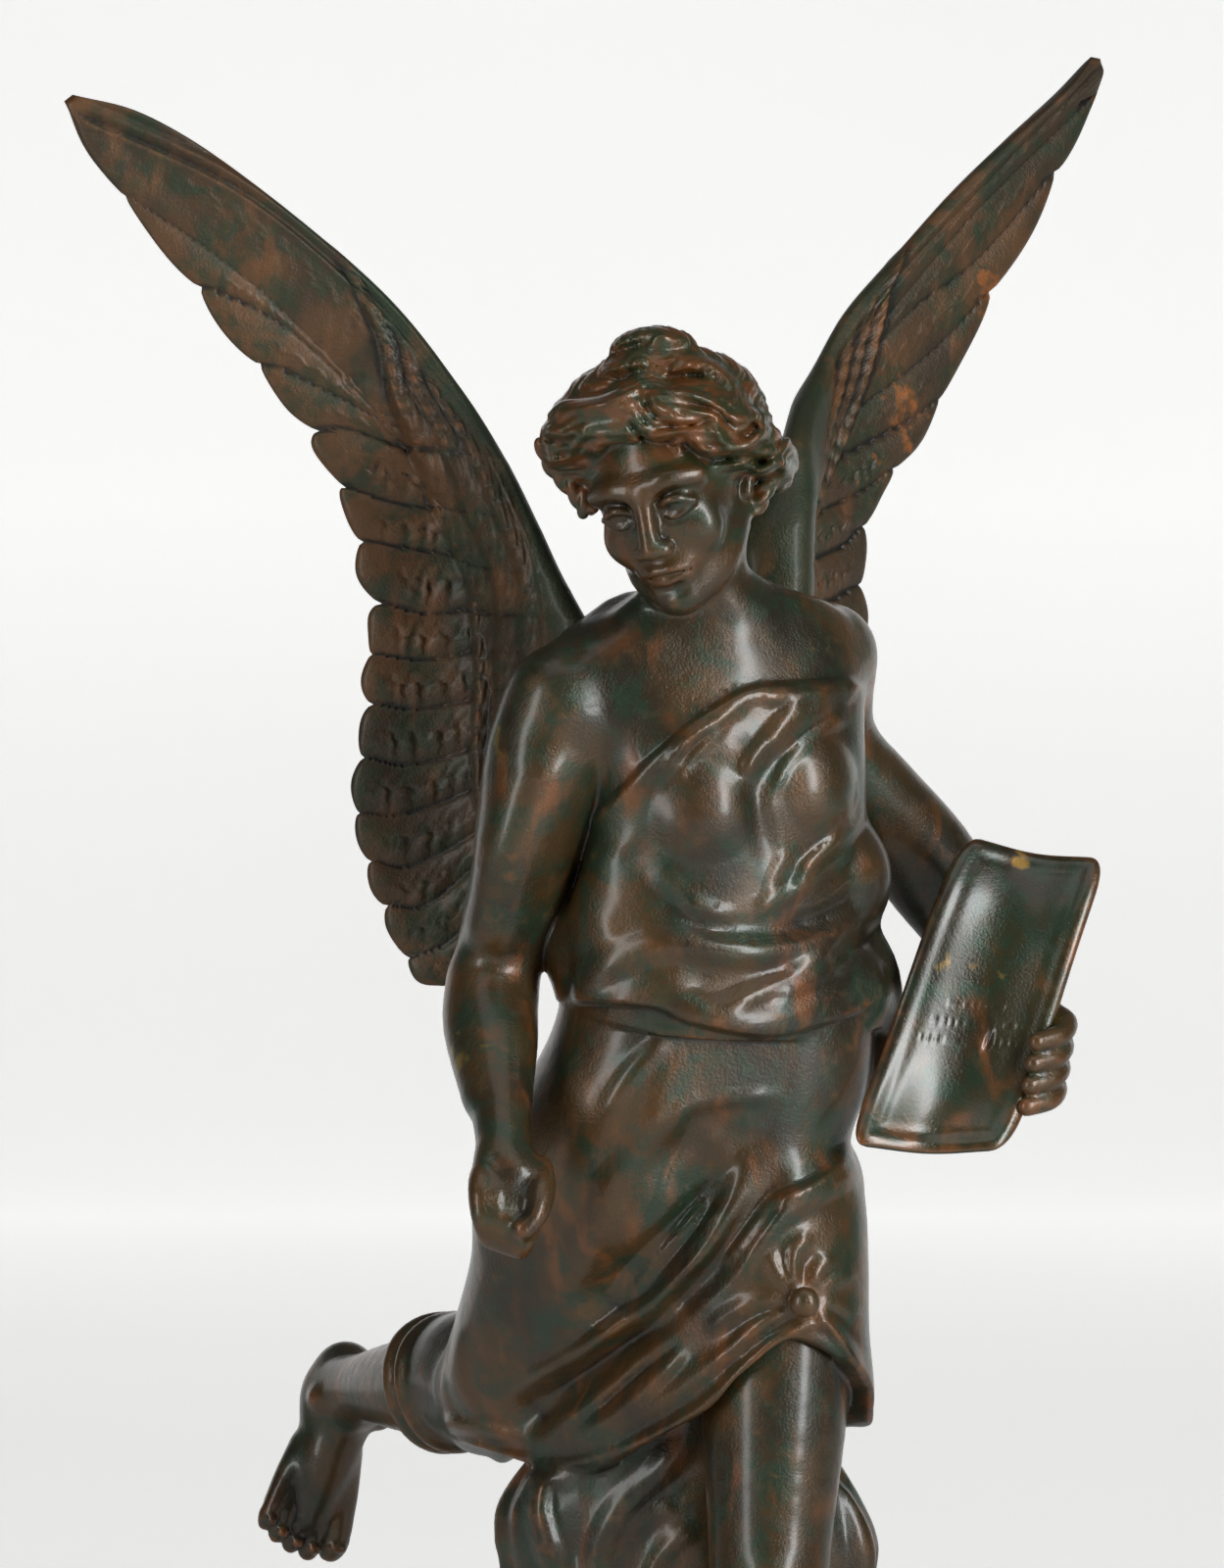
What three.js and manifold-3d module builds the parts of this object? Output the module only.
// A winged victory statuette, cast in bronze: she alights on her left foot, with the right leg flying
// out behind her, a fist that has lost what it held, and a curved tablet on her left arm.
// Millimetres, +Z up. The viewer stands on the -Y side, and +X is the figure's left.
// The origin is the middle of the base's underside.
import * as THREE from "three";
import { mergeVertices } from "three/addons/utils/BufferGeometryUtils.js";
import Module from "manifold-3d";

const wasm = await Module();
wasm.setup();

const TAU = 2 * Math.PI;
const GAP = 0.3; // between separate castings that touch

// Driving sizes
const BASE_RADIUS = 80;
const BASE_HEIGHT = 24;
const TERRACE_TOP = 30;
const HEAD_HEIGHT = 66; // chin to crown
const CHEST_TURN = 25; // degrees that the chest faces towards +X
const SKIRT_TOP = 352;
const WAIST = 345;
const ARM_THICKNESS = 13; // of the wing's arm where it leaves the back
const FEATHERS = 15;

// Joints of the body: x, y, z
const SHOULDER_R = [-41, -42, 431];
const ELBOW_R = [-61.5, -22, 353];
const WRIST_R = [-58, -66, 309];
const FIST_R = [-55, -74, 293];
const SHOULDER_L = [34.5, -4, 447];
const ELBOW_L = [80, 41, 371];
const WRIST_L = [94, -6, 346];
const HAND_L = [97.5, -13, 338];
const HIP_L = [22, -10, 292];
const KNEE_L = [17.5, -28, 173];
const ANKLE_L = [-1, -4, 47];
const HIP_R = [-20, -16, 292];
const KNEE_R = [-58, 45, 231];
const ANKLE_R = [-109.5, 141, 221.5];
const NECK = [3, -30, 452];
const HEAD = [-11, -50, 495];

const bronze = (name, colour, roughness) =>
  new THREE.MeshStandardMaterial({ name, color: colour, roughness, metalness: 0.6 });
const figureBronze = bronze("figure_bronze", 0x3b3226, 0.36);
const wingBronze = bronze("wing_bronze", 0x4a3526, 0.48);
const tabletBronze = bronze("tablet_bronze", 0x35321f, 0.3);
const baseBronze = bronze("base_bronze", 0x33291f, 0.4);

const radians = THREE.MathUtils.degToRad;
const smoothstep = THREE.MathUtils.smoothstep;
const lerp = THREE.MathUtils.lerp;
const vec = (p) => new THREE.Vector3(p[0], p[1], p[2]);
const between = (a, b, t) => vec(a).lerp(vec(b), t).toArray();

// A curve through rows of numbers: it gives every column at t, from 0 to 1.
function track(rows) {
  const width = rows[0].length;
  const curves = [];
  for (let first = 0; first < width; first += 3) {
    const points = rows.map((row) => new THREE.Vector3(...[0, 1, 2].map((k) => row[first + k] ?? 0)));
    curves.push(new THREE.CatmullRomCurve3(points, false, "catmullrom", 0.5));
  }
  return (t) => curves.flatMap((curve) => curve.getPoint(t).toArray()).slice(0, width);
}

// The value of a track whose first column rises or falls steadily, where that column is `at`.
function lookup(rows) {
  const follow = track(rows);
  const rising = rows[rows.length - 1][0] > rows[0][0];
  return (at) => {
    let low = 0;
    let high = 1;
    for (let step = 0; step < 24; step++) {
      const middle = (low + high) / 2;
      if (follow(middle)[0] < at === rising) low = middle;
      else high = middle;
    }
    return follow((low + high) / 2);
  };
}

// Turns a geometry into a closed solid that faces out.
function solid(geometry) {
  const bare = geometry.clone();
  bare.deleteAttribute("normal");
  bare.deleteAttribute("uv");
  const merged = mergeVertices(bare, 1e-3);
  const corners = merged.index.array;
  const faces = [];
  for (let i = 0; i < corners.length; i += 3) {
    const [a, b, c] = corners.slice(i, i + 3);
    if (a !== b && b !== c && c !== a) faces.push(a, b, c);
  }
  const make = (triVerts) =>
    new wasm.Manifold(
      new wasm.Mesh({ numProp: 3, vertProperties: merged.attributes.position.array, triVerts }),
    );
  const made = make(new Uint32Array(faces));
  if (made.volume() > 0) return made;
  for (let i = 0; i < faces.length; i += 3) [faces[i], faces[i + 1]] = [faces[i + 1], faces[i]];
  return make(new Uint32Array(faces));
}

// A closed skin: a sphere's lattice, each point moved to place(t, angle), t running from pole to pole.
function skin(sides, rings, place, relief) {
  const geometry = new THREE.SphereGeometry(1, sides, rings);
  const position = geometry.getAttribute("position");
  for (let i = 0; i < position.count; i++) {
    const t = Math.floor(i / (sides + 1)) / rings;
    const angle = (((i % (sides + 1)) % sides) / sides) * TAU;
    position.setXYZ(i, ...place(t, angle));
  }
  if (relief) carve(geometry, relief);
  return solid(geometry);
}

// A closed column: place(s, angle) gives rings from s = 0 to s = 1, and a flat fan closes each end.
function column(sides, rings, place, relief) {
  const last = rings + 1;
  const middle = (s) => {
    const ring = [...Array(sides).keys()].map((k) => vec(place(s, (k / sides) * TAU)));
    return ring.reduce((sum, point) => sum.add(point)).divideScalar(sides).toArray();
  };
  return skin(
    sides,
    last,
    (t, angle) => {
      const ring = Math.round(t * last);
      if (ring === 0 || ring === last) return middle(ring === 0 ? 0 : 1);
      return place((ring - 1) / (rings - 1), angle);
    },
    relief,
  );
}

// A closed sheet: place(v, u, front) gives its two faces, which meet where u is 0 or 1.
function sheet(rows, columns, place) {
  const rings = columns + 2;
  return skin(2 * rows, rings, (t, angle) => {
    const ring = Math.round(t * rings);
    const v = THREE.MathUtils.clamp((ring - 1) / columns, 0, 1);
    const half = (angle / TAU) * 2;
    if (ring === 0 || ring === rings) return between(place(v, 0.5, true), place(v, 0.5, false), 0.5);
    return place(v, half <= 1 ? half : 2 - half, half <= 1);
  });
}

// Moves each point of a geometry out along its normal by relief(point, normal).
function carve(geometry, relief) {
  const bare = geometry.clone();
  bare.deleteAttribute("normal");
  bare.deleteAttribute("uv");
  const merged = mergeVertices(bare, 1e-3);
  merged.computeVertexNormals();
  const moved = new Map();
  const key = (x, y, z) => `${x.toFixed(2)},${y.toFixed(2)},${z.toFixed(2)}`;
  const point = new THREE.Vector3();
  const normal = new THREE.Vector3();
  const sign = Math.sign(facing(merged)) || 1;
  for (let i = 0; i < merged.attributes.position.count; i++) {
    point.fromBufferAttribute(merged.attributes.position, i);
    normal.fromBufferAttribute(merged.attributes.normal, i).multiplyScalar(sign);
    const place = key(point.x, point.y, point.z);
    moved.set(place, point.addScaledVector(normal, relief(point.clone(), normal)).toArray());
  }
  const position = geometry.getAttribute("position");
  for (let i = 0; i < position.count; i++) {
    const place = key(position.getX(i), position.getY(i), position.getZ(i));
    if (moved.has(place)) position.setXYZ(i, ...moved.get(place));
  }
}

// Six times the volume of a closed indexed geometry: positive where its faces point out.
function facing(geometry) {
  const corner = [0, 1, 2].map(() => new THREE.Vector3());
  let volume = 0;
  for (let i = 0; i < geometry.index.count; i += 3) {
    corner.forEach((c, k) => c.fromBufferAttribute(geometry.attributes.position, geometry.index.getX(i + k)));
    volume += corner[0].dot(corner[1].clone().cross(corner[2]));
  }
  return volume;
}

// A limb: round or oval sections x, y, z, across, deep along a curve, with rounded ends.
function limb(rows, sides, rings, up = [0, 1, 0]) {
  const filled = rows.map((row) => [...row.slice(0, 4), row[4] ?? row[3], 0]);
  const follow = track(filled);
  const length = new THREE.CatmullRomCurve3(filled.map(vec)).getLength();
  return skin(sides, rings, (t, angle) => {
    const s = lerp(t, (1 - Math.cos(Math.PI * t)) / 2, 0.35);
    const [x, y, z, across, deep] = follow(s);
    const ahead = vec(follow(Math.min(1, s + 0.01)));
    const behind = vec(follow(Math.max(0, s - 0.01)));
    const along = ahead.sub(behind).normalize();
    const side = along.clone().cross(vec(up)).normalize();
    const other = side.clone().cross(along);
    const end = Math.min(s, 1 - s) * length;
    const cap = Math.sqrt(Math.max(0, 1 - Math.max(0, 1 - end / across) ** 2));
    return new THREE.Vector3(x, y, z)
      .addScaledVector(side, Math.cos(angle) * across * cap)
      .addScaledVector(other, Math.sin(angle) * deep * cap)
      .toArray();
  });
}

// An oval lump: centre, three radii and a turn about Z in degrees.
function lump(centre, radii, turn = 0, sides = 8, rings = 5) {
  const geometry = new THREE.SphereGeometry(1, sides, rings);
  geometry.scale(...radii);
  geometry.rotateZ(radians(turn));
  geometry.translate(...centre);
  return solid(geometry);
}

const join = (pieces) => pieces.reduce((sum, piece) => sum.add(piece));

// Distance from x, z to a chain of points, and how far along it the nearest point is, from 0 to 1.
function nearest(x, z, chain) {
  let best = [Infinity, 0];
  for (let i = 0; i + 1 < chain.length; i++) {
    const [ax, az] = chain[i];
    const [bx, bz] = chain[i + 1];
    const t = THREE.MathUtils.clamp(
      ((x - ax) * (bx - ax) + (z - az) * (bz - az)) / ((bx - ax) ** 2 + (bz - az) ** 2),
      0,
      1,
    );
    const distance = Math.hypot(x - lerp(ax, bx, t), z - lerp(az, bz, t));
    if (distance < best[0]) best = [distance, (i + t) / (chain.length - 1)];
  }
  return best;
}

// Folds seen from the front (side -1) or the back (side 1): each has a width, a height and a chain of x, z.
function folds(list, side) {
  return (point, normal) => {
    const turned = smoothstep(normal.y * side, -0.1, 0.35);
    if (turned === 0) return 0;
    return list.reduce((sum, [width, height, ...chain]) => {
      const [distance, along] = nearest(point.x, point.z, chain);
      const across = Math.max(0, 1 - (distance / width) ** 2) ** 2;
      const taper = Math.min(1, 5 * along + 0.2, 5 * (1 - along) + 0.2);
      return sum + height * across * taper * turned;
    }, 0);
  };
}

// The bodice: its hem over the left breast, the puckers under it and the overfold at the waist.
const BODICE_FOLDS = [
  [5, 2.2, [44, 436], [35, 438], [22, 437], [9, 429], [-4, 420], [-15, 410], [-23, 402]],
  [4, 1.6, [10, 423], [0, 417], [-8, 409], [-14, 400]],
  [5, 1.4, [44, 430], [30, 430], [18, 425], [10, 414], [6, 404]],
  [5, 1.6, [32, 418], [22, 412], [14, 402], [10, 388]],
  [5, -1.6, [14, 418], [9, 404], [6, 388]],
  [5, 1.6, [44, 400], [34, 392], [26, 380], [20, 370]],
  [6, 2.6, [-24, 356], [-8, 363], [8, 362], [20, 361], [34, 367], [48, 373]],
  [5, -2, [-16, 356], [4, 356], [22, 354], [44, 364]],
  [6, 2.4, [-10, 350], [6, 349], [18, 352], [30, 357], [46, 362]],
  [4, 1.4, [0, 343], [16, 344], [32, 349], [46, 355]],
];

// The skirt's long folds, which sweep from the left hip to the raised knee, and the puckers at the brooch.
const SKIRT_FOLDS = [
  [7, 2.6, [41, 306], [28, 295], [16, 284], [6, 270], [-6, 256]],
  [8, -2.8, [34, 306], [18, 292], [4, 276], [-8, 262]],
  [8, 3.6, [13, 302], [5, 287], [-4, 271], [-16, 260], [-28, 252], [-40, 244], [-50, 236]],
  [9, -3.6, [-2, 312], [-8, 290], [-18, 270], [-32, 256], [-46, 244]],
  [7, 2.6, [-2, 262], [-14, 250], [-28, 241], [-38, 232], [-50, 221]],
  [6, -2.6, [-10, 254], [-24, 246], [-40, 234], [-56, 225]],
  [7, 2.6, [20, 259], [12, 253], [2, 246], [-10, 234], [-24, 225], [-38, 217]],
  [5, -1.8, [14, 248], [0, 238], [-14, 228]],
  [8, 2, [4, 318], [-4, 305], [-16, 285], [-28, 270]],
  [5, 2.2, [31, 272], [30, 266]],
  [5, 2.2, [38, 270], [32, 265]],
  [5, 1.8, [22, 272], [27, 266]],
  [5, 1.8, [42, 262], [34, 262]],
  [6, 2.4, [45, 300], [46, 290], [47, 280]],
];

// Folds down the skirt's back and the drapery that falls to the ground.
const BACK_FOLDS = [
  [9, 3.4, [-34, 330], [-30, 280], [-26, 230], [-30, 180], [-38, 120], [-44, 60]],
  [8, -3, [-20, 330], [-16, 280], [-14, 230], [-18, 180], [-26, 120], [-30, 50]],
  [9, 3.2, [-6, 335], [-2, 280], [-2, 230], [-4, 180], [-10, 120], [-14, 50]],
  [8, -3, [10, 335], [12, 280], [12, 220], [10, 160], [6, 100], [4, 50]],
  [9, 3.2, [24, 330], [26, 280], [26, 220], [26, 160], [24, 100], [22, 50]],
];

const back = folds(BACK_FOLDS, 1);

// Level sections of the trunk: z, x, y, half width, half depth, and the rise towards her left shoulder.
const TRUNK = [
  [467, 2, -33, 21, 12, 0],
  [461, 2, -31, 33, 15, 0.1],
  [452, 2.5, -29, 40.5, 18.5, 0.2],
  [438, 3.5, -27, 44, 24, 0.2],
  [422, 5, -26, 43, 27.5, 0.13],
  [404, 6.5, -25, 42, 28, 0.06],
  [386, 5, -24, 43.5, 27.5, 0],
  [370, 3, -22, 46.5, 29, 0],
  [354, 3.5, -20, 46, 32, 0],
  [336, 4, -18, 45, 33, 0],
];

// Round forms on the trunk: x, y, z, radius and height.
const CHEST_FORMS = [
  [-2, -49, 402, 17, 8],
  [30, -36, 409, 17, 8],
  [-34, -24, 430, 20, 4],
  [20, 2, 432, 20, 4],
  [-16, -8, 432, 20, 4],
  [-42, -22, 362, 19, 8],
  [46, -12, 383, 19, 10],
  [47, -16, 348, 17, 9],
];

function swellings(forms) {
  return (point) =>
    forms.reduce((sum, [x, y, z, radius, height]) => {
      const near = 1 - point.distanceToSquared(new THREE.Vector3(x, y, z)) / (radius * radius);
      return sum + (near > 0 ? height * near * near * (1.5 - 0.5 * near) : 0);
    }, 0);
}

// The trunk ends below in the overfold's edge, which dips in front.
function trunk() {
  const sections = lookup(TRUNK);
  const turn = radians(CHEST_TURN);
  const place = (s, angle) => {
    const front = Math.max(0, -Math.sin(angle));
    const level = lerp(TRUNK[0][0], WAIST - 1 - 8 * front, s);
    const [, x, y, wide, deep, rise] = sections(level);
    const a = Math.cos(angle) * wide;
    const b = Math.sin(angle) * deep;
    return [
      x + a * Math.cos(turn) - b * Math.sin(turn),
      y + a * Math.sin(turn) + b * Math.cos(turn),
      level + a * rise,
    ];
  };
  const forms = swellings(CHEST_FORMS);
  const cloth = folds(BODICE_FOLDS, -1);
  return column(22, 13, place, (p, n) => forms(p) + cloth(p, n));
}

// Level sections of the skirt: z, then x, y and radius on the raised thigh's side and on the standing leg's.
const SKIRT = [
  [SKIRT_TOP, -12, -22, 29, 18, -12, 29],
  [338, -14, -20, 31, 18, -12, 31],
  [322, -19, -18, 34, 17, -12, 30],
  [305, -26, -13, 35, 14, -13, 28.5],
  [290, -32, -6, 35.5, 16.8, -14, 30.4],
  [272, -36, 4, 32.5, 18.5, -16, 29.7],
  [252, -42, 18, 31, 20, -17, 28],
  [232, -50, 32, 28, 20.8, -18, 27.8],
  [205, -51, 40, 20, 19, -18, 27.6],
];

// The hem by direction: degrees from the front towards +X, and its height.
const HEM = [
  [-180, 196],
  [-120, 205],
  [-90, 206],
  [-60, 203],
  [-35, 207],
  [-10, 220],
  [15, 238],
  [33, 250],
  [48, 242],
  [70, 219],
  [90, 213],
  [120, 205],
  [180, 196],
];

// The outline that holds two circles a and b and all between them, seen from their middle.
function pairOutline(a, b, angle) {
  const middle = [(a[0] + b[0]) / 2, (a[1] + b[1]) / 2];
  const [ux, uy] = [b[0] - a[0], b[1] - a[1]];
  let inside = 0;
  let outside = 120;
  for (let step = 0; step < 20; step++) {
    const r = (inside + outside) / 2;
    const x = middle[0] + Math.cos(angle) * r;
    const y = middle[1] + Math.sin(angle) * r;
    const along = ((x - a[0]) * ux + (y - a[1]) * uy) / (ux * ux + uy * uy);
    const t = THREE.MathUtils.clamp(along, 0, 1);
    if (Math.hypot(x - a[0] - ux * t, y - a[1] - uy * t) < lerp(a[2], b[2], t)) inside = r;
    else outside = r;
  }
  return [middle[0] + Math.cos(angle) * inside, middle[1] + Math.sin(angle) * inside];
}

function skirt() {
  const sections = lookup(SKIRT);
  const hem = lookup(HEM);
  const place = (s, angle) => {
    const direction = THREE.MathUtils.euclideanModulo((angle / TAU) * 360 + 270, 360) - 180;
    const z = lerp(SKIRT_TOP, hem(direction)[1], s);
    const row = sections(z);
    return [...pairOutline(row.slice(1, 4), row.slice(4, 7), angle), z];
  };
  const front = folds(SKIRT_FOLDS, -1);
  return column(26, 11, place, (p, n) => front(p, n) + back(p, n));
}

// The cloth over the raised thigh and the shin, rolled back below the knee.
function raisedSleeve() {
  const shin = (t) => between(KNEE_R, ANKLE_R, t);
  const rows = [
    [...HIP_R, 30],
    [...between(HIP_R, KNEE_R, 0.6), 26],
    [...KNEE_R, 21.5],
    [-68, 65, 231, 21],
    [...shin(0.33), 20],
    [...shin(0.4), 21.5],
    [...shin(0.48), 17],
  ];
  return limb(rows, 10, 10);
}

// Drapery behind the standing leg, from the skirt to the terrace: z, x, y, half width, half depth.
const DRAPERY = [
  [230, -5.5, 12, 40, 26],
  [200, -5.5, 16, 50, 24],
  [178, -5, 18, 55.5, 24],
  [150, -6, 19, 54, 24],
  [110, -7, 20, 45, 23],
  [70, -8, 21, 43, 24],
  [28, -8, 22, 50, 28],
];

function drapery() {
  const sections = lookup(DRAPERY);
  const place = (s, angle) => {
    const z = lerp(DRAPERY[0][0], DRAPERY[DRAPERY.length - 1][0], s);
    const [, x, y, wide, deep] = sections(z);
    const wave = 1 + 0.08 * Math.sin(7 * angle + z * 0.03);
    return [x + Math.cos(angle) * wide * wave, y + Math.sin(angle) * deep * wave, z];
  };
  return column(18, 6, place, back);
}

// A foot in its own frame: the ankle over the origin, the sole 17 below it, the toes towards -Y.
function foot() {
  const sole = [
    [0, 12, -9, 8.5, 8],
    [0, 2, -8, 9, 9.5],
    [0, -14, -9.5, 10, 7.5],
    [0.5, -28, -12, 11.5, 5],
    [0.5, -38, -13, 11, 4],
  ];
  const toes = [
    [8.2, -39, 4.4],
    [2.6, -41, 3.4],
    [-2, -40, 3.2],
    [-6, -38, 3],
    [-9.4, -35, 2.8],
  ];
  const toe = ([x, y, r]) =>
    limb([[x * 0.85, y + 8, -12.6, r], [x, y - 1, -13, r], [x, y - 6, -13.8, r]], 5, 3);
  return join([
    limb(sole, 9, 6, [0, 0, 1]),
    limb([[0, 3, 2, 8.5], [0, 2, -8, 10]], 8, 4),
    ...toes.map(toe),
  ]);
}

const set = (piece, matrix) => piece.transform(matrix.elements);

function standingLeg() {
  const rows = [
    [...HIP_L, 26],
    [...between(HIP_L, KNEE_L, 0.5), 22],
    [...between(HIP_L, KNEE_L, 0.82), 18.2],
    [...KNEE_L, 16.4],
    [...between(KNEE_L, ANKLE_L, 0.18), 14],
    [...between(KNEE_L, ANKLE_L, 0.36), 15.6],
    [...between(KNEE_L, ANKLE_L, 0.62), 12],
    [...between(KNEE_L, ANKLE_L, 0.86), 8.4],
    [...ANKLE_L, 8.8],
  ];
  const turned = new THREE.Matrix4().makeRotationZ(radians(14)).setPosition(...ANKLE_L);
  return [limb(rows, 10, 11), set(foot(), turned)];
}

function raisedLeg() {
  const rows = [
    [...between(KNEE_R, ANKLE_R, 0.3), 15.4],
    [...between(KNEE_R, ANKLE_R, 0.45), 16.2],
    [...between(KNEE_R, ANKLE_R, 0.7), 13.4],
    [...between(KNEE_R, ANKLE_R, 0.9), 10.4],
    [...between(KNEE_R, ANKLE_R, 1.09), 9],
  ];
  const toeDown = new THREE.Matrix4()
    .makeRotationY(radians(16))
    .multiply(new THREE.Matrix4().makeRotationZ(radians(28)))
    .multiply(new THREE.Matrix4().makeRotationX(radians(82)))
    .scale(new THREE.Vector3(1.42, 1, 1.1))
    .setPosition(ANKLE_R[0] + 0.5, ANKLE_R[1] + 3, ANKLE_R[2] - 8);
  return [limb(rows, 10, 5, [0, 0, 1]), set(foot(), toeDown)];
}

function rightArm() {
  const rows = [
    [-24, -36, 442, 14],
    [...SHOULDER_R, 16.5],
    [...between(SHOULDER_R, ELBOW_R, 0.22), 17],
    [...between(SHOULDER_R, ELBOW_R, 0.6), 14.6],
    [...between(SHOULDER_R, ELBOW_R, 0.9), 13],
    [...between(ELBOW_R, WRIST_R, 0.12), 12.9],
    [...between(ELBOW_R, WRIST_R, 0.4), 12.6],
    [...between(ELBOW_R, WRIST_R, 0.75), 9.6],
    [...WRIST_R, 7.8],
    [...between(WRIST_R, FIST_R, 0.6), 9],
  ];
  return [limb(rows, 10, 13), ...fist()];
}

// The fist: a rounded palm, four bent fingers side by side and the thumb over them.
function fist() {
  const [x, y, z] = FIST_R;
  const finger = (i) => {
    const knuckle = [x - 6 + 4 * i, y + 4, z + 9 - i, 3.4];
    const bend = [x - 7 + 4 * i, y - 7, z + 1 - i, 3.6];
    const tip = [x - 4.5 + 4 * i, y - 1, z - 10 - i, 3.3];
    return limb([knuckle, bend, tip], 5, 4);
  };
  const thumb = limb(
    [
      [x + 8, y + 3, z + 6, 3.8],
      [x + 10, y - 6, z, 3.8],
      [x + 5, y - 10, z - 6, 3.3],
    ],
    5,
    4,
  );
  return [lump([x, y, z], [10.5, 9.5, 13]), thumb, ...[0, 1, 2, 3].map(finger)];
}

function leftArm() {
  const rows = [
    [20, -12, 449, 13],
    [...SHOULDER_L, 15.5],
    [37, 7, 425, 13.4],
    [49, 19, 408, 14],
    [66, 31, 389, 14],
    [...ELBOW_L, 12.6],
    [...between(ELBOW_L, WRIST_L, 0.35), 11.8],
    [...between(ELBOW_L, WRIST_L, 0.75), 9],
    [...WRIST_L, 7.8],
    [...between(WRIST_L, HAND_L, 1.2), 7.5],
  ];
  const [x, y, z] = HAND_L;
  const finger = (i) => {
    const knuckle = [x + 2 - i, y + 4, z + 5 - 6 * i, 3.3];
    const bend = [x + 6 - i, y - 6, z + 1 - 6 * i, 3.4];
    const tip = [x - 2 - i, y - 15, z - 2 - 6 * i, 3.1];
    return limb([knuckle, bend, tip], 5, 4);
  };
  return [limb(rows, 10, 11), lump([x - 1, y + 1, z - 3], [8, 9, 14]), ...[0, 1, 2, 3].map(finger)];
}

// The head in its own frame: eyes level with the origin, the face towards -Y.
function head() {
  const brow = (side) => limb([[side * 3, -24.4, 5, 2], [side * 15, -19, 5, 2.2]], 6, 4);
  const eye = (side) => lump([side * 8.6, -20.6, 0], [4.6, 3.2, 2.5], 0, 8, 4);
  const face = [
    lump([0, 4, 6], [22, 27, 24], 0, 10, 6),
    lump([0, -8, -9], [17.5, 19, 24.5], 0, 10, 8),
    lump([0, -20, -26], [7.5, 6.5, 6.5]),
    limb([[0, -24, 3, 2.6], [0, -27.5, -4, 3], [0, -30, -9.5, 3.6]], 6, 4),
    lump([0, -26, -9.8], [5.4, 3.6, 2.8], 0, 6, 4),
    lump([0, -23.4, -16.2], [7, 4, 2.1], 0, 8, 4),
    lump([0, -23, -19.6], [5.8, 3.8, 2.3], 0, 8, 4),
  ];
  const both = [-1, 1].flatMap((side) => [brow(side), eye(side)]);
  const scale = HEAD_HEIGHT / 66;
  const placed = headFrame().multiply(new THREE.Matrix4().makeScale(scale, scale, scale));
  return set(join([...face, ...both, ...hair()]), placed);
}

// The head looks down to its right: turned, bowed and tipped towards the right shoulder.
function headFrame() {
  return new THREE.Matrix4()
    .makeRotationY(radians(-12))
    .multiply(new THREE.Matrix4().makeRotationZ(radians(-22)))
    .multiply(new THREE.Matrix4().makeRotationX(radians(18)))
    .setPosition(...HEAD);
}

// Hair: a waved cap, a thick roll that frames the face from nape to nape, and a knot on top.
function hair() {
  const locks = 8;
  const cap = skin(2 * locks, 7, (t, angle) => {
    const down = Math.PI * t;
    const lock = 1 + 0.04 * Math.sin(down) * Math.cos(locks * angle);
    const x = 1.5 + 31.5 * lock * Math.sin(down) * Math.cos(angle);
    const y = 9 + 28.5 * lock * Math.sin(down) * Math.sin(angle);
    return [x, y, 13 + 25.5 * Math.cos(down)];
  });
  const roll = [
    [-16, 15, -7, 6.5],
    [-20, 7, 1, 10],
    [-22, 1, 10, 12.5],
    [-20, -3, 18, 12],
    [-13, -9, 23, 12.5],
    [-4, -12, 25.5, 11],
    [5, -12, 25, 12.5],
    [13, -9, 20, 11.5],
    [20, -3, 13, 12.5],
    [23, 5, 6, 11],
    [24, 12, 0, 11.5],
    [21, 18, -8, 6],
  ];
  const knot = lump([3.5, 9, 35.5], [14, 12, 8.5], 0.2, 8, 5);
  return [cap, limb(roll, 8, 12, [0, 0, 1]), knot];
}

// The neck, and the muscle that slopes from it to the right shoulder.
function neck() {
  const slope = [
    [-6, -24, 455, 10],
    [-21, -24, 455, 10],
    [-34, -31, 446, 10],
  ];
  return [
    limb([[...NECK, 17], [1, -35, 462, 13.5], [-4, -40, 474, 13], [-8, -42, 490, 13]], 11, 5),
    limb(slope, 7, 4),
  ];
}

// The end of the dress that hangs at the left hip, between the body and the tablet.
function sash() {
  const rows = [
    [44, -8, 370, 6],
    [50, -8, 354, 7],
    [50, -9, 339, 7],
    [43, -11, 316, 5],
  ];
  return limb(rows, 7, 5);
}

// A low terrace of ground cast with the figure, flat below.
function terrace() {
  const profile = [
    [61, BASE_HEIGHT + GAP],
    [60, TERRACE_TOP - 3],
    [54, TERRACE_TOP - 0.6],
    [36, TERRACE_TOP],
  ];
  return column(20, 4, (s, angle) => {
    const [r, z] = profile[Math.round(s * 3)];
    const edge = 1 + 0.05 * Math.sin(3 * angle + 1) + 0.03 * Math.sin(7 * angle);
    return [Math.cos(angle) * r * edge, Math.sin(angle) * r * edge, z];
  });
}

// The round brooch that holds the slit of the skirt.
function brooch() {
  return lump([29, -46, 262], [4.4, 3.4, 4.4]);
}

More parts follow.
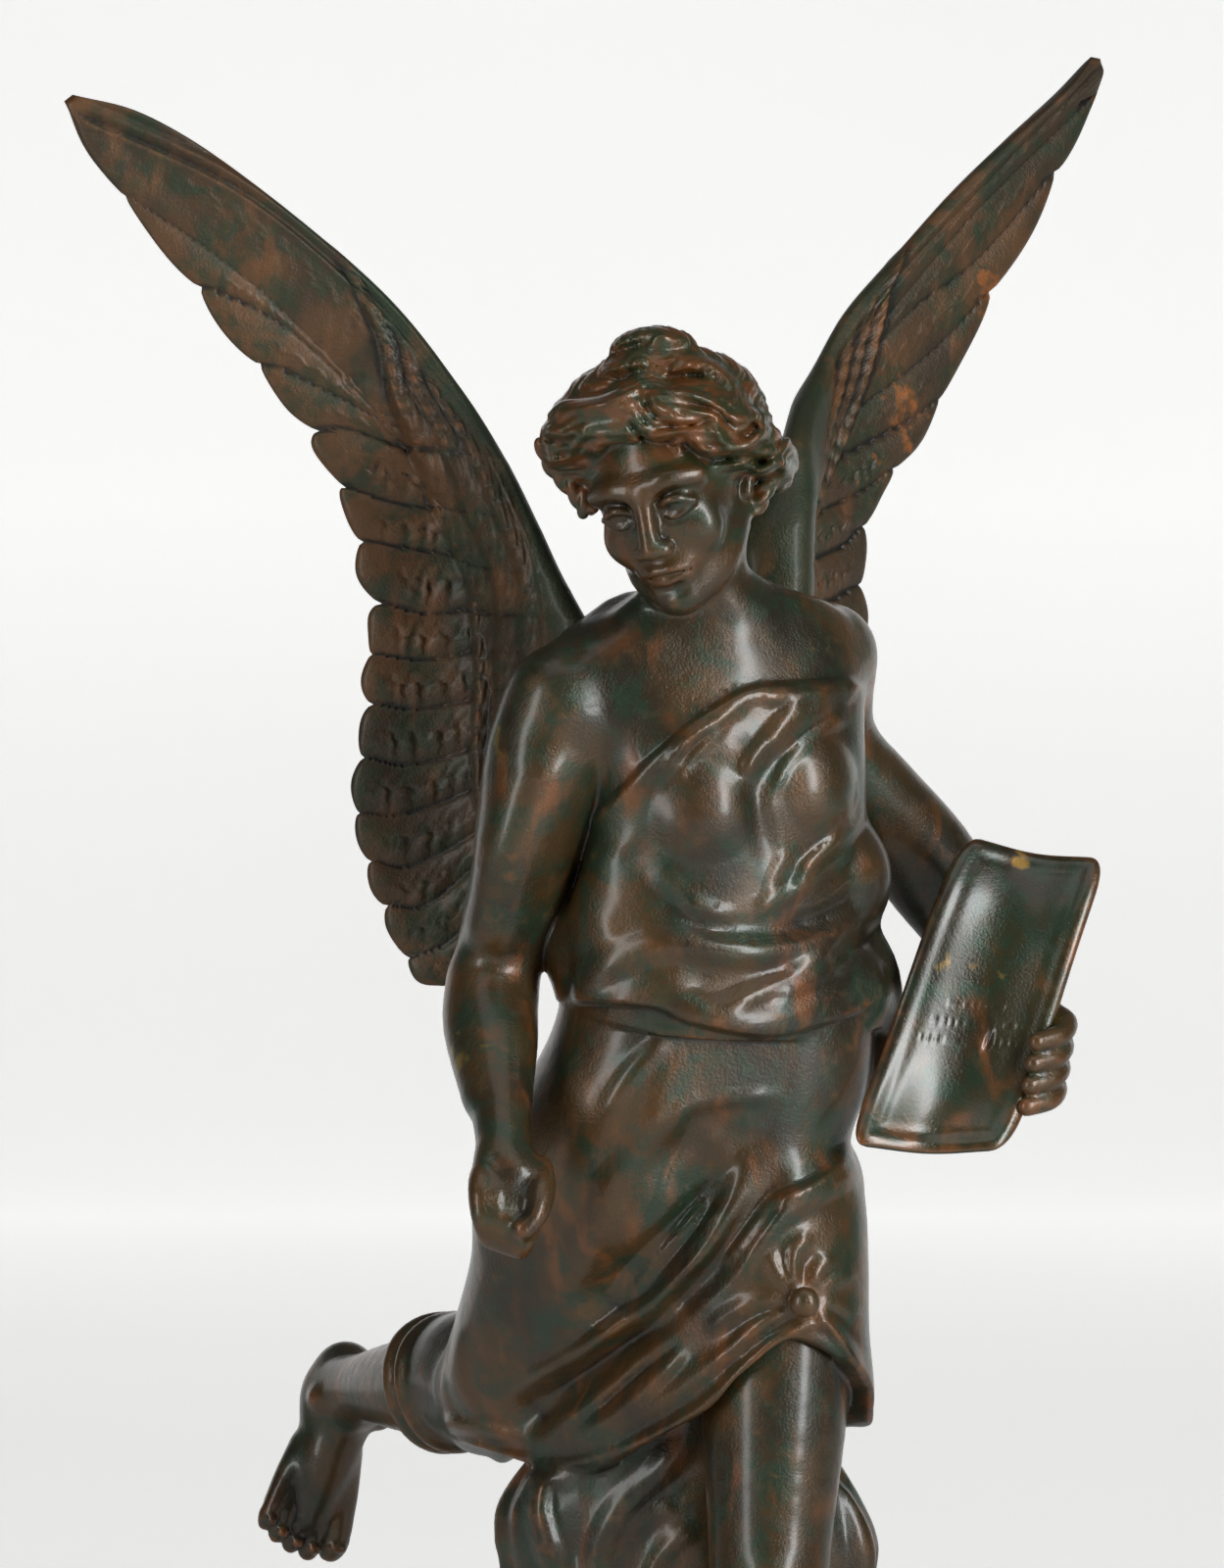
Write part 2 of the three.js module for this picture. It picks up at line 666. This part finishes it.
// Flat outlines of the wings, millimetres from the root: feather f, which counts up from the lowest one,
// then out and up. Tips are the feathers' ends at half counts, and notches lie between them.
const RIGHT_WING = {
  root: [-33.5, 1, 452],
  turnAhead: 0,
  leading: [
    [0, -14, -46],
    [4, -16, -22],
    [8, 1, 4],
    [9.3, 10, 18],
    [10, 17, 31],
    [11, 28, 51],
    [12, 43, 74],
    [13, 67, 103.5],
    [14, 107, 136],
    [14.6, 136, 153.5],
    [15, 158, 159.5],
  ],
  tips: [
    [0, 48.3, -102.9],
    [0.5, 56.5, -100],
    [1.5, 64.6, -86.1],
    [2.5, 70.1, -72.5],
    [3.5, 74.2, -57.5],
    [4.5, 75.7, -42.7],
    [5.5, 73.3, -26.3],
    [6.5, 72.7, -11.2],
    [7.5, 70.7, 4.1],
    [8.5, 74.2, 20],
    [9.5, 78, 38.7],
    [10.5, 86.5, 55.4],
    [11.5, 96.1, 69.7],
    [12.5, 113.5, 90.3],
    [13.5, 133.2, 115.9],
    [14.5, 153.5, 142.5],
    [15, 160.5, 157.5],
  ],
  notches: [
    [0, 47.5, -101.7],
    [1, 58, -93.6],
    [2, 64.6, -78],
    [3, 69.5, -65],
    [4, 73, -50.8],
    [5, 71.6, -34.4],
    [6, 69, -18.7],
    [7, 69.3, -4],
    [8, 66.4, 11],
    [9, 71.9, 29.2],
    [10, 77.1, 45.1],
    [11, 85, 61.8],
    [12, 102.5, 81.5],
    [13, 119.9, 103.7],
    [14, 142.4, 130.1],
    [15, 160.5, 157.5],
  ],
};
const LEFT_WING = {
  root: [20, 17, 452],
  turnAhead: 36,
  leading: [
    [0, -14, -46],
    [4, -20, -22],
    [8, -14, 2],
    [9, -13, 15],
    [10, -12.5, 30],
    [10.5, -4, 43],
    [11, 3.5, 56],
    [11.5, 22, 69],
    [12, 43.8, 81.5],
    [12.5, 63, 101],
    [13, 83.4, 119],
    [13.5, 106, 139],
    [14, 130, 157.6],
    [14.6, 151, 173],
    [15, 164.5, 184.8],
  ],
  tips: [
    [0, 30.4, -103.6],
    [0.5, 44.5, -101.1],
    [1.5, 56.3, -89.5],
    [2.5, 62, -74.8],
    [3.5, 66.4, -60],
    [4.5, 69.8, -42.2],
    [5.5, 70.6, -24.3],
    [6.5, 71.4, -9.4],
    [7.5, 72.2, 8.4],
    [8.5, 71.4, 27.1],
    [9.5, 77.4, 44.9],
    [10.5, 94.5, 63.3],
    [11.5, 113, 91.3],
    [12.5, 140.4, 129.4],
    [13.5, 160.2, 161],
    [14.5, 169, 178.3],
    [15, 168.5, 184.5],
  ],
  notches: [
    [0, 30.4, -103.6],
    [1, 47.5, -96],
    [2, 56, -82],
    [3, 61, -67],
    [4, 65, -51],
    [5, 67, -33],
    [6, 68, -17],
    [7, 68.5, 0],
    [8, 68.1, 18.2],
    [9, 69.8, 36],
    [10, 82.2, 53.9],
    [11, 100.9, 75.5],
    [12, 121.6, 109.4],
    [13, 149, 148.1],
    [14, 167.3, 173.9],
    [15, 168.5, 184.5],
  ],
};
const ROOT_HEADING = 36; // degrees that the wing leaves straight back at the shoulder
const TIP_HEADING = 76; // and at the tip

// Where a wing's sheet lies in plan: it goes back from the shoulder, then curves outwards.
function wingPlan(out, turnAhead) {
  const STEP = 2;
  let across = 0;
  let behind = 0;
  const steps = Math.ceil(Math.abs(out) / STEP);
  for (let i = 0; i < steps; i++) {
    const at = ((i + 0.5) / steps) * out;
    const ahead = turnAhead * (1 - smoothstep(at, -6, 14));
    const heading = radians(lerp(ROOT_HEADING, TIP_HEADING, smoothstep(at, 20, 80)) + ahead);
    across += (Math.sin(heading) * out) / steps;
    behind += (Math.cos(heading) * out) / steps;
  }
  return [across, behind];
}

// A wing: side is -1 for the right and 1 for the left.
function wing(side, { root, turnAhead, leading, tips, notches }) {
  const edgeAt = lookup(leading);
  const tipAt = lookup(tips);
  const notchAt = lookup(notches);
  const rows = 5;
  const columns = 3 * FEATHERS;
  const turn = radians(CHEST_TURN);
  const place = (v, r, front) => {
    const f = v * FEATHERS;
    const bulge = Math.abs(Math.sin(Math.PI * f)) ** 0.55;
    const edge = edgeAt(f);
    const notch = notchAt(f);
    const tip = tipAt(f);
    const [out, up] = [1, 2].map((k) => lerp(edge[k], lerp(notch[k], tip[k], bulge), r));
    const lower = 1 - smoothstep(f, 10.6, 11.6);
    const feather = lower * bulge * Math.min(1, 2.5 * r);
    const coverts = r > 0.2 && r < 0.6 ? 0.8 : 0;
    const arm = (1 - smoothstep(up, 40, 95)) * Math.sin(Math.PI * Math.min(1, r / 0.55));
    const thick = lerp(4.4, 1.6, Math.min(1, r * 1.6)) + feather + coverts;
    const rim = Math.sqrt(Math.max(0, 1 - (2 * r - 1) ** 8));
    const depth = (front ? -1 : 1) * thick * rim - (front ? ARM_THICKNESS * arm : 0);
    const [across, behind] = wingPlan(out, turnAhead);
    const x = side * across;
    const y = behind + depth;
    return [
      root[0] + x * Math.cos(turn) - y * Math.sin(turn),
      root[1] + x * Math.sin(turn) + y * Math.cos(turn),
      root[2] + up,
    ];
  };
  return sheet(rows, columns, place);
}

// The tablet: a plate with a slow double bend and a raised rim, its corners at these places.
const TABLET = {
  topLeft: [74.8, 0, 396],
  topRight: [117.5, -6, 387],
  lowRight: [87, -32, 302],
  lowLeft: [39.5, -38, 304],
  thickness: 3.2,
};

// It grows by so much on every side where room for it is cut from the hand.
function tablet(grow = 0) {
  const rows = 6;
  const columns = 10;
  const corners = ["topLeft", "topRight", "lowLeft", "lowRight"].map((name) => vec(TABLET[name]));
  const [topLeft, topRight, lowLeft, lowRight] = corners;
  const out = topRight.clone().sub(topLeft).cross(lowLeft.clone().sub(topLeft)).normalize();
  if (out.y > 0) out.negate();
  const place = (t, u, front) => {
    const round = 0.88 + 0.12 * Math.sqrt(1 - Math.abs(2 * t - 1) ** 9);
    const across = 0.5 + (u - 0.5) * round * (1 + grow / 20);
    const edge = Math.sqrt(Math.max(0, 1 - (2 * u - 1) ** 10));
    const top = topLeft.clone().lerp(topRight, across);
    const low = lowLeft.clone().lerp(lowRight, across);
    const bend = 3.4 * Math.sin(TAU * t) + 2.2 * Math.cos(TAU * across);
    const thick = (front ? 1 : -1) * (TABLET.thickness * 0.5 + grow) * edge;
    return top.lerp(low, t).addScaledVector(out, bend + thick).toArray();
  };
  return sheet(rows, columns, place);
}

// A low round base, turned, with a torus under a hollow moulding.
function base() {
  const profile = [
    [0, 0],
    [BASE_RADIUS, 0],
    [BASE_RADIUS, 4],
    [BASE_RADIUS - 1, 7],
    [BASE_RADIUS - 2.5, 10.5],
    [BASE_RADIUS - 6, 12],
    [BASE_RADIUS - 9, 15],
    [BASE_RADIUS - 10, 19],
    [BASE_RADIUS - 8.5, 21],
    [BASE_RADIUS - 9, BASE_HEIGHT - 0.8],
    [BASE_RADIUS - 10.5, BASE_HEIGHT],
    [0, BASE_HEIGHT],
  ];
  const geometry = new THREE.LatheGeometry(
    profile.map(([x, y]) => new THREE.Vector2(x, y)),
    24,
  );
  geometry.rotateX(Math.PI / 2);
  return solid(geometry);
}

function meshOf(name, piece, material) {
  const made = piece.getMesh();
  const position = new Float32Array(made.numVert * 3);
  for (let i = 0; i < made.numVert; i++) {
    position.set(made.vertProperties.subarray(i * made.numProp, i * made.numProp + 3), i * 3);
  }
  const geometry = new THREE.BufferGeometry();
  geometry.setAttribute("position", new THREE.BufferAttribute(position, 3));
  geometry.setIndex(new THREE.BufferAttribute(made.triVerts, 1));
  geometry.computeVertexNormals();
  const mesh = new THREE.Mesh(geometry, material);
  mesh.name = name;
  return mesh;
}

// A copy of a solid grown about a point, to keep a gap round it.
function grown(piece, centre, ratio) {
  const [x, y, z] = centre;
  const matrix = new THREE.Matrix4()
    .makeTranslation(x, y, z)
    .multiply(new THREE.Matrix4().makeScale(ratio, ratio, ratio))
    .multiply(new THREE.Matrix4().makeTranslation(-x, -y, -z));
  return set(piece, matrix);
}

const figureSolid = join([
  trunk(),
  skirt(),
  raisedSleeve(),
  drapery(),
  ...standingLeg(),
  ...raisedLeg(),
  ...rightArm(),
  ...leftArm(),
  ...neck(),
  sash(),
  head(),
  brooch(),
  terrace(),
]).subtract(tablet(GAP));
const room = grown(figureSolid, [0, -25, 400], 1.006);
const fitted = (piece) => piece.subtract(room).subtract(figureSolid);

const statuette = new THREE.Group();
statuette.name = "statuette";
statuette.add(
  meshOf("figure", figureSolid, figureBronze),
  meshOf("right_wing", fitted(wing(-1, RIGHT_WING)), wingBronze),
  meshOf("left_wing", fitted(wing(1, LEFT_WING)), wingBronze),
  meshOf("tablet", tablet(), tabletBronze),
  meshOf("base", base(), baseBronze),
);

export default statuette;
